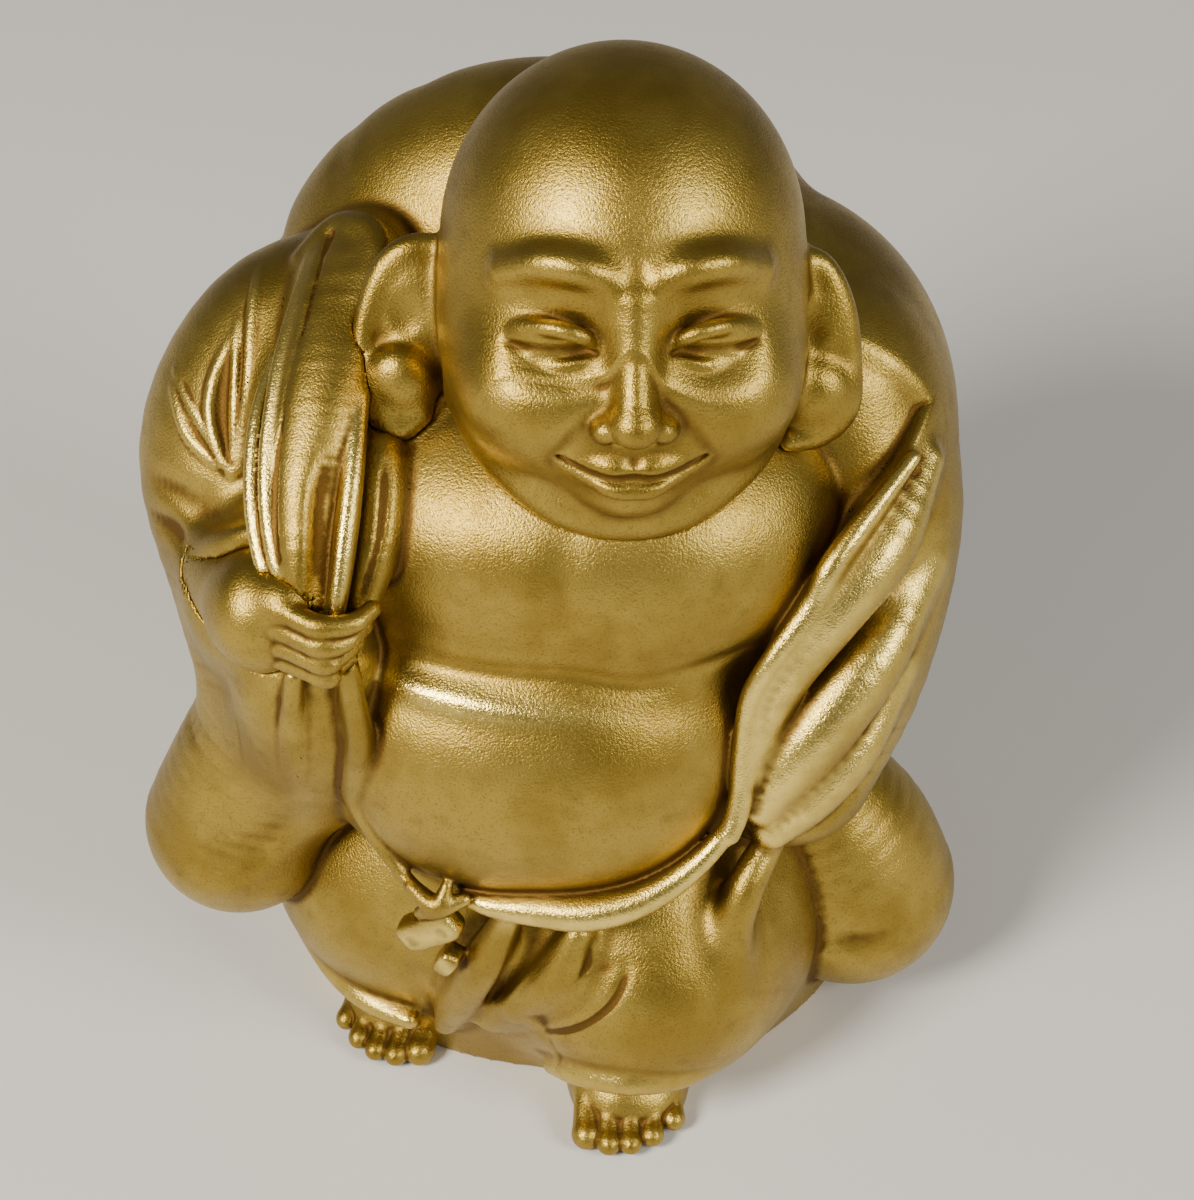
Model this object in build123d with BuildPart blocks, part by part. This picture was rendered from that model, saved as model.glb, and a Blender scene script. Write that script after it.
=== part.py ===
"""Standing ornament of a bald, pot-bellied monk with a sack over his right shoulder.

The ornament is a set of thin castings, pegged together, soldered and plated as one.
Millimetres, +Z up, the figure faces -Y, and its own left side is +X.
"""

from build123d import *

import os
from functools import cache
from math import cos, radians, sin, sqrt

# ---- driving sizes -------------------------------------------------------------------------
WALL = 1.1  # wall of a hollow casting
SEAM = 0.08  # solder gap between two castings
CLEAR = 0.12  # radial clearance of a peg in its hole
OVERRUN = 1.0  # how far a cut runs past the face that it opens

# Each casting's outer shape is a smooth solid through level rings. A ring is
# (z, centre x, centre y, half width, depth in front, depth behind).
RINGS = {
    "skirt": [
        (0.0, 0.8, 0.5, 17.2, 15.8, 16.0),
        (4.0, 0.8, 0.5, 18.0, 16.6, 17.0),
        (9.0, 0.8, 0.5, 18.0, 17.2, 16.6),
        (15.5, 0.8, 0.0, 16.6, 16.4, 14.6),
    ],
    "torso": [
        (15.6, 1.0, -1.0, 13.2, 14.2, 11.0),
        (20.0, 1.0, -1.0, 15.2, 17.4, 12.2),
        (26.0, 1.0, -1.0, 16.0, 18.6, 12.6),
        (31.5, 1.2, -1.0, 15.6, 17.2, 12.6),
        (35.0, 1.6, -1.0, 15.2, 14.8, 12.6),
        (39.0, 2.2, -1.0, 14.8, 14.2, 12.2),
        (43.0, 3.0, -1.0, 12.2, 11.4, 10.6),
        (46.0, 3.5, -1.0, 9.0, 8.4, 8.6),
    ],
    "robe": [
        (5.0, 0.8, 1.2, 20.2, 17.6, 17.8),
        (12.0, 0.8, 1.0, 19.8, 18.0, 17.4),
        (20.0, 0.6, 0.6, 19.0, 19.0, 16.2),
        (30.0, 0.6, 0.4, 18.6, 19.4, 15.2),
        (38.0, 0.6, 0.4, 18.4, 17.0, 14.4),
        (43.0, 1.0, 0.6, 16.4, 14.0, 12.8),
        (47.5, 2.0, 1.0, 12.2, 10.4, 11.0),
    ],
    "left_sleeve": [
        (2.2, 18.2, -3.6, 4.4, 5.0, 6.0),
        (6.0, 18.0, -3.6, 6.2, 7.6, 8.6),
        (10.5, 17.0, -4.0, 6.2, 9.0, 8.4),
        (15.5, 15.2, -4.4, 5.2, 10.0, 8.0),
        (24.0, 15.8, -4.0, 6.2, 11.6, 9.0),
        (34.0, 16.8, -2.0, 6.4, 10.0, 8.4),
        (40.0, 16.4, 0.0, 6.0, 7.6, 7.4),
        (45.0, 14.6, 1.6, 3.4, 3.6, 4.2),
    ],
    "right_sleeve": [
        (9.0, -19.0, -9.4, 3.2, 3.4, 3.6),
        (11.8, -19.0, -9.2, 5.0, 5.4, 6.0),
        (16.0, -18.6, -8.8, 6.0, 6.6, 7.4),
        (20.5, -17.4, -8.0, 5.4, 6.4, 7.4),
        (26.0, -16.4, -6.6, 4.8, 6.2, 7.4),
        (32.0, -16.6, -4.8, 5.8, 8.0, 8.0),
        (38.0, -16.9, -2.4, 6.4, 9.0, 8.2),
        (43.0, -16.0, 0.0, 5.8, 7.0, 6.6),
        (47.0, -14.2, 1.6, 3.2, 3.2, 3.6),
    ],
    "sack": [
        (20.0, 3.6, 9.0, 5.0, 3.0, 3.4),
        (23.5, 3.0, 9.0, 11.6, 7.0, 7.8),
        (29.0, 2.0, 9.0, 16.4, 9.0, 10.0),
        (36.0, 0.8, 9.0, 18.2, 10.0, 10.8),
        (43.0, 0.0, 9.2, 17.2, 9.6, 10.0),
        (49.0, -1.4, 9.8, 12.2, 7.4, 7.6),
        (53.4, -3.2, 10.4, 5.2, 3.4, 3.6),
    ],
}

# The sack's gathered neck: (x, y, z, slope of the run, half width, half depth).
GATHER = [
    (-9.8, 6.0, 48.4, 18.0, 4.4, 3.2),
    (-10.8, -1.0, 49.4, -2.0, 4.6, 2.8),
    (-10.6, -7.6, 48.0, -32.0, 4.8, 3.0),
    (-10.2, -12.0, 44.0, -58.0, 4.7, 3.2),
    (-10.0, -14.6, 40.0, -74.0, 3.9, 3.0),
    (-9.9, -15.6, 36.6, -84.0, 2.9, 2.5),
    (-9.9, -16.2, 32.4, -88.0, 3.8, 2.2),
    (-10.2, -16.6, 27.0, -88.0, 4.8, 2.0),
]

# The robe's open front, as (x, z): down the right lapel's edge, then down the left one's.
RIGHT_LAPEL = [(-3.0, 49.0), (-5.0, 41.0), (-9.6, 33.0), (-11.8, 25.0), (-11.6, 17.4)]
LEFT_LAPEL = [(20.0, 49.0), (15.4, 39.0), (13.0, 32.0), (12.6, 24.0), (9.0, 17.4)]
LAPEL_PLANE_Y = -2.0  # the opening is cut from here forwards
LAPEL_CUT = 24.0

SPIGOT_RADIUS = 7.0  # tube under the torso that drops into the skirt
SPIGOT_LENGTH = 3.0

HEAD_CENTRE = (4.0, -3.2, 51.2)
HEAD_RADIUS = 10.3
HEAD_HALF_HEIGHT = 12.4
JAW_ANGLE = -52.0  # where the jaw is cut off level, as an angle at the head's middle
NECK_PEG_RADIUS = 3.4
NECK_PEG_BORE = 2.3
NECK_PEG_LENGTH = 4.0
EAR_RADIUS = 2.1
EAR_HALF_HEIGHT = 5.2
EAR_DROP = 2.6  # the ears' centre is this far below the head's middle
EAR_INSET = 0.6  # and this far inside the head's side
NOSE_RADIUS = 1.3
NOSE_HALF_HEIGHT = 2.3
NOSE_DROP = 2.0
EYELID_RADIUS = 0.8
EYELID_HALF_WIDTH = 1.9
EYES_APART = 7.2
LIP_RADIUS = 0.7
LIP_HALF_WIDTH = 2.4
LIP_DROP = 6.2
FACE_TURN = 6.0  # the face looks this far towards the figure's left

PALM_CENTRE = (-14.0, -15.6, 36.6)
PALM_SIZE = (7.2, 7.2, 8.6)
PALM_ROUNDING = 2.8
FINGER_RADIUS = 1.15
FINGER_STEP = 1.95
FINGER_COUNT = 4
KNUCKLES = (-13.8, -18.9)  # x and y
FINGER_LENGTH = 6.0
WRIST_PEG_RADIUS = 1.6
WRIST_PEG = ((-15.4, -14.0, 36.4), (-17.6, -8.4, 35.4))  # from inside the palm into the sleeve

FOOT_RADIUS = 3.7
FOOT_HALF_LENGTH = 7.0
FOOT_SINK = 2.6  # the sole cuts the foot's round shape off this far below its middle
TOE_RADIUS = 0.95
TOE_HALF_LENGTH = 1.9
TOE_COUNT = 5
TOE_STEP = 1.45
TOE_CURVE = 1.6  # the outer toes lie this far behind the middle one
FOOT_PEG_RADIUS = 1.4
FOOT_PEG_HEIGHT = 2.2
FOOT_PEG_SPAN = (3.2, 12.0)  # the peg starts and ends this far behind the toes
FEET = {"left_foot": (5.6, -21.2, 6.0), "right_foot": (-10.2, -16.2, -14.0)}  # x, toes' y, turn

SASH_LOW = 15.7
SASH_HIGH = 18.2
SASH_THICK = 1.3
SASH_ENDS = (-10.6, 8.4)  # x
KNOT_X = -5.6
KNOT_RADIUS = 1.9
KNOT_HALF_WIDTH = 2.4
TAIL_SIZE = (2.2, 1.1, 4.4)
TAIL_SPLAY = 16.0

PLATE_THICK = 0.8


# ---- shared shapes -------------------------------------------------------------------------
@cache
def envelope(name, grow=0.0, low=0.0, high=0.0):
    """A casting's outer shape, grown outwards, with its two ends moved by low and high."""
    rings = RINGS[name]
    with BuildPart() as body:
        for ring in rings:
            z, x, y, side, front, behind = ring
            shift = low if ring is rings[0] else high if ring is rings[-1] else 0.0
            with BuildSketch(Plane.XY.offset(z + shift)):
                with BuildLine():
                    EllipticalCenterArc((x, y), side + grow, behind + grow, 0, arc_size=180)
                    EllipticalCenterArc((x, y), side + grow, front + grow, 180, arc_size=180)
                make_face()
        loft()
    return body.part


@cache
def gather(grow=0.0):
    """The sack's gathered neck, from inside the sack over the shoulder and down past the fist."""
    with BuildPart() as cloth:
        for x, y, z, slope, half_width, half_depth in GATHER:
            run = (0.0, -cos(radians(slope)), sin(radians(slope)))
            with BuildSketch(Plane((x, y, z), x_dir=(1, 0, 0), z_dir=run)):
                Ellipse(half_width + grow, half_depth + grow)
        loft(ruled=True)
    return cloth.part


def spheroid(centre, radius, half_length, along=(0, 0, 1), grow=0.0):
    """A round body, longer or shorter along one direction than across it."""
    with BuildPart() as ball:
        with BuildSketch(Plane.XZ):
            Ellipse(radius + grow, half_length + grow)
            with Locations((-radius - grow, 0)):
                Rectangle(2 * (radius + grow), 2 * (half_length + grow), mode=Mode.SUBTRACT)
        revolve(axis=Axis.Z)
    return ball.part.moved(Plane(centre, z_dir=along).location)


def rod(start, end, radius):
    run = Vector(end) - Vector(start)
    with BuildPart() as bar:
        with BuildSketch(Plane(start, z_dir=run)):
            Circle(radius)
        extrude(amount=run.length)
    return bar.part


def jaw_level(grow=0.0):
    return HEAD_CENTRE[2] + HEAD_HALF_HEIGHT * sin(radians(JAW_ANGLE)) - grow


@cache
def skull(grow=0.0):
    """The head's plain shape, cut off level below the jaw."""
    with BuildPart() as head:
        add(spheroid(HEAD_CENTRE, HEAD_RADIUS, HEAD_HALF_HEIGHT, grow=grow))
        split(bisect_by=Plane.XY.offset(jaw_level(grow)), keep=Keep.TOP)
    return head.part


def ears(grow=0.0):
    x, y, z = HEAD_CENTRE
    reach = HEAD_RADIUS - EAR_INSET
    places = [(x + side * reach, y, z - EAR_DROP) for side in (-1, 1)]
    return [spheroid(place, EAR_RADIUS, EAR_HALF_HEIGHT, grow=grow) for place in places]


def foot_plane(name):
    """The foot's plane on the ground: its origin under the toes' tips, +Y towards the heel."""
    x, toes_y, turn = FEET[name]
    return Plane((x, toes_y, 0.0), x_dir=(cos(radians(turn)), sin(radians(turn)), 0.0))


def foot_peg(name, grow=0.0):
    place = foot_plane(name)
    start, end = (place.from_local_coords(Vector(0, back, FOOT_PEG_HEIGHT)) for back in FOOT_PEG_SPAN)
    return rod(start, end, FOOT_PEG_RADIUS + grow)


def wrist_peg(grow=0.0):
    return rod(*WRIST_PEG, WRIST_PEG_RADIUS + grow)


def cut_to_neighbours(part, shapes):
    """The part with a solder gap to each of the shapes beside it."""
    with BuildPart() as fitted:
        add(part)
        for shape in shapes:
            add(shape, mode=Mode.SUBTRACT)
    return fitted


def bore(x, y, top, depth, radius):
    """A round upright hole's own shape."""
    return rod((x, y, top), (x, y, top - depth), radius)


# ---- castings ------------------------------------------------------------------------------
def make_skirt():
    """The lower robe: a hollow drum with a deck on top, which carries the torso."""
    top = RINGS["skirt"][-1][0]
    x, y = RINGS["torso"][0][1:3]
    with BuildPart() as skirt:
        add(envelope("skirt"))
        add(envelope("skirt", -WALL, -OVERRUN, -WALL), mode=Mode.SUBTRACT)
        add(bore(x, y, top + OVERRUN, WALL + 2 * OVERRUN, SPIGOT_RADIUS + CLEAR), mode=Mode.SUBTRACT)
        for name in FEET:
            add(foot_peg(name, CLEAR), mode=Mode.SUBTRACT)
    return skirt


def make_base_plate():
    """The sheet that closes the skirt from below."""
    x, y, side, front, behind = RINGS["skirt"][0][1:]
    inset = WALL + SEAM
    with BuildPart() as base_plate:
        with BuildSketch(Plane.XY):
            with BuildLine():
                EllipticalCenterArc((x, y), side - inset, behind - inset, 0, arc_size=180)
                EllipticalCenterArc((x, y), side - inset, front - inset, 180, arc_size=180)
            make_face()
        extrude(amount=PLATE_THICK)
    return base_plate


def make_torso():
    """Belly and chest: a hollow shell with a cup for the head and a spigot into the skirt."""
    low, x, y = RINGS["torso"][0][:3]
    neck_x, neck_y = HEAD_CENTRE[:2]
    head_cup = [skull(WALL + SEAM), *ears(WALL + SEAM)]
    hollow = cut_to_neighbours(envelope("torso", -WALL, WALL, -WALL), head_cup)
    shell = cut_to_neighbours(envelope("torso"), [hollow.part, skull(SEAM), *ears(SEAM)])
    with BuildPart() as torso:
        add(shell.part)
        add(bore(x, y, low + WALL, WALL + SPIGOT_LENGTH, SPIGOT_RADIUS))
        add(bore(x, y, low + 2 * WALL, 3 * WALL + SPIGOT_LENGTH, SPIGOT_RADIUS - WALL), mode=Mode.SUBTRACT)
        add(bore(neck_x, neck_y, jaw_level(), 3 * WALL, NECK_PEG_RADIUS + CLEAR), mode=Mode.SUBTRACT)
    return torso


def lapel_opening():
    """What the open front takes out of the robe."""
    with BuildPart() as opening:
        with BuildSketch(Plane.XZ.offset(-LAPEL_PLANE_Y)):
            with BuildLine():
                Spline(*RIGHT_LAPEL)
                Polyline(RIGHT_LAPEL[-1], (RIGHT_LAPEL[-1][0], 0), (LEFT_LAPEL[-1][0], 0), LEFT_LAPEL[-1])
                Spline(*LEFT_LAPEL)
                Line(LEFT_LAPEL[0], RIGHT_LAPEL[0])
            make_face()
        extrude(amount=LAPEL_CUT)
    return opening.part


def make_robe():
    """The robe's back and sides with the two lapels. It fits round the torso and the skirt."""
    inner = [envelope("skirt", SEAM, -OVERRUN, SEAM), envelope("torso", SEAM, -2 * SEAM, SEAM), wrist_peg(CLEAR)]
    return cut_to_neighbours(envelope("robe"), [*inner, skull(SEAM), *ears(SEAM), lapel_opening()])


def make_left_sleeve():
    with BuildPart() as shell:
        add(envelope("left_sleeve"))
        add(envelope("left_sleeve", -WALL, WALL, -WALL), mode=Mode.SUBTRACT)
    return cut_to_neighbours(shell.part, [envelope("robe", SEAM), envelope("skirt", SEAM)])


def make_right_sleeve():
    with BuildPart() as shell:
        add(envelope("right_sleeve"))
        add(envelope("right_sleeve", -WALL, WALL, -WALL), mode=Mode.SUBTRACT)
    return cut_to_neighbours(shell.part, [envelope("robe", SEAM), gather(SEAM), wrist_peg(CLEAR)])


def make_sack_neck():
    beside = [envelope("robe", SEAM), envelope("torso", SEAM), skull(SEAM), *ears(SEAM)]
    return cut_to_neighbours(gather(), beside)


def make_sack():
    """The sack on the back: a hollow shell, open where it is soldered to the robe."""
    with BuildPart() as shell:
        add(envelope("sack"))
        add(envelope("sack", -WALL, WALL, -WALL), mode=Mode.SUBTRACT)
    sleeves = [envelope("left_sleeve", SEAM), envelope("right_sleeve", SEAM)]
    beside = [envelope("robe", SEAM), *sleeves, skull(SEAM), *ears(SEAM), gather(SEAM)]
    return cut_to_neighbours(shell.part, beside)


def make_right_hand():
    """A closed fist round the sack's neck, with a peg into the sleeve."""
    x, y = KNUCKLES
    with BuildPart() as palm:
        with Locations(PALM_CENTRE):
            Box(*PALM_SIZE)
        fillet(palm.edges(), PALM_ROUNDING)
    with BuildPart() as fist:
        add(palm.part)
        for i in range(FINGER_COUNT):
            z = PALM_CENTRE[2] + (i - (FINGER_COUNT - 1) / 2) * FINGER_STEP
            add(rod((x, y, z), (x + FINGER_LENGTH, y, z), FINGER_RADIUS))
    beside = [envelope("right_sleeve", SEAM), envelope("robe", SEAM), gather(SEAM)]
    fitted = cut_to_neighbours(fist.part, beside)
    with BuildPart() as right_hand:
        add(fitted.part)
        add(wrist_peg())
    return right_hand


def face_point(across, drop):
    """A point on the skull, this far across the face and below the head's middle."""
    forward = HEAD_RADIUS * sqrt(1 - (across / HEAD_RADIUS) ** 2 - (drop / HEAD_HALF_HEIGHT) ** 2)
    return Vector(across, -forward, -drop).rotate(Axis.Z, FACE_TURN) + Vector(HEAD_CENTRE)


def make_head():
    """A hollow head with plain features and long ears, and a bored peg for the neck."""
    x, y = HEAD_CENTRE[:2]
    across_face = Vector(1, 0, 0).rotate(Axis.Z, FACE_TURN)
    floor = jaw_level(-WALL)
    with BuildPart() as head:
        add(skull())
        for ear in ears():
            add(ear)
        add(spheroid(face_point(0.0, NOSE_DROP), NOSE_RADIUS, NOSE_HALF_HEIGHT))
        add(spheroid(face_point(0.0, LIP_DROP), LIP_RADIUS, LIP_HALF_WIDTH, across_face))
        for side in (-1, 1):
            eye = face_point(side * EYES_APART / 2, 0.0)
            add(spheroid(eye, EYELID_RADIUS, EYELID_HALF_WIDTH, across_face))
        add(skull(-WALL), mode=Mode.SUBTRACT)
        add(bore(x, y, floor, WALL + NECK_PEG_LENGTH, NECK_PEG_RADIUS))
        add(bore(x, y, floor + WALL, 3 * WALL + NECK_PEG_LENGTH, NECK_PEG_BORE), mode=Mode.SUBTRACT)
    return head


def make_sash():
    """The sash's front, on the skirt's deck under the belly, with its knot and two tails."""
    left, right = SASH_ENDS
    middle = (SASH_LOW + SASH_HIGH) / 2
    x, y, side, front = RINGS["torso"][0][1:5]
    knot = (KNOT_X, y - front * sqrt(1 - ((KNOT_X - x) / side) ** 2) - 2 * SASH_THICK, middle)
    with BuildPart() as tail:
        Box(*TAIL_SIZE, align=(Align.CENTER, Align.CENTER, Align.MAX))
    with BuildPart() as band:
        with BuildSketch(Plane.XZ.offset(KNOT_RADIUS)):
            with Locations(((left + right) / 2, middle)):
                Rectangle(right - left, SASH_HIGH - SASH_LOW)
        extrude(amount=LAPEL_CUT)
        add(envelope("torso", SASH_THICK + SEAM), mode=Mode.INTERSECT)
        add(spheroid(knot, KNOT_RADIUS, KNOT_HALF_WIDTH, (1, 0, 0)))
        for splay in (-TAIL_SPLAY, TAIL_SPLAY):
            add(tail.part.moved(Location(knot, (0.0, splay, 0.0))))
    return cut_to_neighbours(band.part, [envelope("torso", SEAM), envelope("skirt", SEAM, 0.0, SEAM)])


def make_foot(name):
    """A bare foot that shows from under the hem, with a peg into the skirt."""
    along = (0, 1, 0)
    with BuildPart() as foot:
        add(spheroid((0, FOOT_HALF_LENGTH, FOOT_SINK / 2), FOOT_RADIUS, FOOT_HALF_LENGTH, along))
        for i in range(TOE_COUNT):
            share = 2 * i / (TOE_COUNT - 1) - 1
            back = TOE_HALF_LENGTH + TOE_CURVE * share**2
            across = share * TOE_STEP * (TOE_COUNT - 1) / 2
            add(spheroid((across, back, TOE_RADIUS), TOE_RADIUS, TOE_HALF_LENGTH, along))
        split(bisect_by=Plane.XY, keep=Keep.TOP)
    placed = foot.part.moved(foot_plane(name).location)
    fitted = cut_to_neighbours(placed, [envelope("skirt", SEAM, -OVERRUN)])
    with BuildPart() as finished:
        add(fitted.part)
        add(foot_peg(name))
    return finished


# ---- assembly ------------------------------------------------------------------------------
pieces = {
    "skirt": make_skirt(),
    "base_plate": make_base_plate(),
    "torso": make_torso(),
    "robe": make_robe(),
    "left_sleeve": make_left_sleeve(),
    "right_sleeve": make_right_sleeve(),
    "right_hand": make_right_hand(),
    "sack": make_sack(),
    "sack_neck": make_sack_neck(),
    "head": make_head(),
    "sash": make_sash(),
}
for foot_name in FEET:
    pieces[foot_name] = make_foot(foot_name)

# The origin is the middle of the whole ornament's outline, on the ground.
outline = Compound([piece.part for piece in pieces.values()]).bounding_box()
to_origin = Location((-outline.center().X, -outline.center().Y, -outline.min.Z))

os.makedirs("parts", exist_ok=True)
for name, piece in pieces.items():
    piece.part.move(to_origin)
    piece.part.label = name
    export_step(piece.part, f"parts/{name}.step")
print("size", outline.size, "moved by", to_origin.position)
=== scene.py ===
"""The looks of the laughing monk ornament: sculpted castings under one satin gold plating.

Every piece is sculpted as a field of distances on a grid of points, then turned into a mesh.
Lengths in the sculpture are millimetres, in the figure's own frame: +Z up, it faces -Y.
"""

from math import cos, radians, sin

import bpy
import numpy as np
from mathutils import Euler, Matrix, Vector


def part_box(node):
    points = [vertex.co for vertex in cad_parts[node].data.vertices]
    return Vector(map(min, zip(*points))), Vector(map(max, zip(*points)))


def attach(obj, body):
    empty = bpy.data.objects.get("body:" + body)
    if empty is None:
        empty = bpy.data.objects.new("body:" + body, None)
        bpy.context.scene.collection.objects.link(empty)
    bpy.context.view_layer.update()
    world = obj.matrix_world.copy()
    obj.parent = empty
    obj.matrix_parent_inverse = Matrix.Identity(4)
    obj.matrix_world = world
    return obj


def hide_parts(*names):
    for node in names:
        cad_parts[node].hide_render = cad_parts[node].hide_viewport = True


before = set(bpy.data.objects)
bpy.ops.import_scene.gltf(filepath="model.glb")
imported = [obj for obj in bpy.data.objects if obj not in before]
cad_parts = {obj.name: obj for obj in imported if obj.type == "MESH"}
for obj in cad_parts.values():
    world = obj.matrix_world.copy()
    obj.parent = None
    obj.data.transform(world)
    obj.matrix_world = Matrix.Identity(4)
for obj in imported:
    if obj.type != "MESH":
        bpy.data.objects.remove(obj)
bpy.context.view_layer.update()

MM = 0.001
FAR = 9.0  # a distance that counts as out of reach
PLATE_SIDE_GAP, PLATE_TOP_GAP = 0.3, 0.2  # round the base plate, in the skirt's recess
BODY_BLEND = 0.5  # how softly the castings of the body run into each other
EAR_LOBES_ABOVE = 39.5  # the head's grid starts here, below its ear lobes and chin
HEAD_CREASE_SHADE, HAND_CREASE_SHADE = 0.5, 0.7  # how much of the painted shade in their hollows they keep
BODY_STEP = 0.21
FINE_STEP = 0.13


# ---- places from the frame -----------------------------------------------------------------
def box_mm(node):
    low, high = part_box(node)
    return np.array(low) / MM, np.array(high) / MM


plate_low, plate_high = box_mm("base_plate")
PLATE_MIDDLE = (0.8, 0.6, 0.4)  # the base plate's middle in the figure's own frame
SHIFT = (plate_low + plate_high) / 2 - PLATE_MIDDLE


def figure_box(node):
    low, high = box_mm(node)
    return low - SHIFT, high - SHIFT


# ---- distance fields -----------------------------------------------------------------------
class Grid:
    """Points in rows along X, Y and Z, one step apart."""

    def __init__(self, low, high, step):
        self.step = step
        self.low = np.floor(np.array(low) / step) * step - 2 * step
        self.count = np.ceil((np.array(high) - self.low) / step).astype(int) + 3
        rows = [np.arange(count) for count in self.count]
        self.axes = [(start + step * row).astype(np.float32) for start, row in zip(self.low, rows)]

    def window(self, low, high):
        """The rows between two corners, and their coordinates ready to broadcast."""
        first = np.clip(np.floor((np.array(low) - self.low) / self.step).astype(int), 0, self.count - 1)
        last = np.clip(np.ceil((np.array(high) - self.low) / self.step).astype(int) + 1, 1, self.count)
        rows = tuple(slice(a, max(b, a + 1)) for a, b in zip(first, last))
        x, y, z = (axis[row] for axis, row in zip(self.axes, rows))
        return rows, x[:, None, None], y[None, :, None], z[None, None, :]


def soft_min(a, b, blend):
    """The smaller of two distances, rounded off where they cross."""
    if blend <= 0:
        return np.minimum(a, b)
    near = np.maximum(blend - np.abs(a - b), 0) / blend
    return np.minimum(a, b) - near * near * (blend / 4)


def soft_max(a, b, blend):
    return -soft_min(-a, -b, blend)


class Form:
    """One piece's field of distances: negative inside it."""

    def __init__(self, grid):
        self.grid = grid
        self.d = np.full(grid.count, FAR, np.float32)

    def join(self, shape, blend=0.0):
        rows, x, y, z = self.grid.window(*shape.reach(blend))
        self.d[rows] = soft_min(self.d[rows], shape.distance(x, y, z, self.grid), blend)

    def cut(self, shape, blend=0.0):
        rows, x, y, z = self.grid.window(*shape.reach(blend))
        self.d[rows] = soft_max(self.d[rows], -shape.distance(x, y, z, self.grid), blend)

    def crease(self, line, depth, width):
        """Presses a groove into the surface along a line, or raises a ridge where depth is negative."""
        rows, x, y, z = self.grid.window(line.low - 3 * width, line.high + 3 * width)
        self.d[rows] += depth * line.strength(x, y, z, width)


class Shape:
    def reach(self, blend):
        margin = blend + 1.2
        return self.low - margin, self.high + margin


class Ball(Shape):
    """An ellipsoid, turned by three angles in degrees. A power above 2 makes it boxier."""

    def __init__(self, centre, radii, turn=(0, 0, 0), power=2.0):
        self.centre, self.radii, self.power = np.array(centre, float), np.array(radii, float), power
        self.axes = np.array(Euler([radians(a) for a in turn]).to_matrix()).T
        extent = np.sqrt(((self.axes.T * self.radii) ** 2).sum(axis=1)) * 3 ** (0.5 - 1 / power)
        self.low, self.high = self.centre - extent, self.centre + extent

    def distance(self, x, y, z, grid=None):
        cx, cy, cz = self.centre
        local = [((x - cx) * a[0] + (y - cy) * a[1] + (z - cz) * a[2]).astype(np.float32) for a in self.axes]
        return bulge(local, self.radii, self.power)


def bulge(local, radii, power):
    """Nearly the distance to a rounded form, given places from its middle and radii."""
    shares = [np.abs(value) / radius for value, radius in zip(local, radii)]
    if power == 2:
        unit = np.sqrt(sum(share**2 for share in shares))
        slope = np.sqrt(sum((share / radius) ** 2 for share, radius in zip(shares, radii)))
        return unit * (unit - 1) / np.maximum(slope, 1e-6)
    unit = sum(share**power for share in shares) ** (1 / power)
    slope = np.sqrt(sum((share ** (power - 1) / radius) ** 2 for share, radius in zip(shares, radii)))
    return (unit - 1) * unit ** (power - 1) / np.maximum(slope, 1e-6)


class Drum(Shape):
    """Level rings (z, middle x, middle y, radius in x, reach to the front, reach to the back)."""

    def __init__(self, rings, power=2.0):
        self.rings, self.power = smooth_path(rings, 6), power
        z, x, y, side, front, behind = self.rings.T
        self.low = np.array([(x - side).min(), (y - front).min(), z.min()])
        self.high = np.array([(x + side).max(), (y + behind).max(), z.max()])

    def distance(self, x, y, z, grid=None):
        levels = [np.interp(z, self.rings[:, 0], column) for column in self.rings[:, 1:].T]
        mid_x, mid_y, side, front, behind = (level.astype(np.float32) for level in levels)
        across, along = x - mid_x, y - mid_y
        reach = np.where(along < 0, front, behind)
        around = bulge([across, along], [side, reach], self.power)
        ends = np.maximum(self.low[2] - z, z - self.high[2])
        return np.maximum(around, ends).astype(np.float32)


def smooth_path(points, per_run=6):
    """Points on a smooth curve through the given ones; extra columns, such as radii, follow along."""
    points = np.array(points, float)
    if len(points) < 3 or per_run < 2:
        return points
    ends = np.vstack([2 * points[0] - points[1], points, 2 * points[-1] - points[-2]])
    out = []
    for i in range(1, len(ends) - 2):
        a, b, c, d = ends[i - 1 : i + 3]
        for t in np.arange(per_run) / per_run:
            out.append(b + 0.5 * t * (c - a + t * (2 * a - 5 * b + 4 * c - d + t * (3 * (b - c) + d - a))))
    return np.array(out + [points[-1]])


class Tube(Shape):
    """A round tube through points (x, y, z, radius)."""

    def __init__(self, points, per_run=5):
        self.path = smooth_path(points, per_run)
        radii = self.path[:, 3:4]
        self.low = (self.path[:, :3] - radii).min(axis=0)
        self.high = (self.path[:, :3] + radii).max(axis=0)

    def distance(self, x, y, z, grid):
        """Each run is worked out only near itself."""
        found = np.full(np.broadcast_shapes(x.shape, y.shape, z.shape), FAR, np.float32)
        corner = np.array([x.flat[0], y.flat[0], z.flat[0]])
        for start, end in zip(self.path[:-1], self.path[1:]):
            margin = max(start[3], end[3]) + 2.6
            low = np.minimum(start[:3], end[:3]) - margin
            high = np.maximum(start[:3], end[:3]) + margin
            first = np.maximum(np.floor((low - corner) / grid.step).astype(int), 0)
            last = np.ceil((high - corner) / grid.step).astype(int) + 1
            rows = tuple(slice(a, max(b, a)) for a, b in zip(first, last))
            px, py, pz = x[rows[0]], y[:, rows[1]], z[:, :, rows[2]]
            if 0 in (px.size, py.size, pz.size):
                continue
            found[rows] = np.minimum(found[rows], run_distance(px, py, pz, start, end))
        return found


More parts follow.
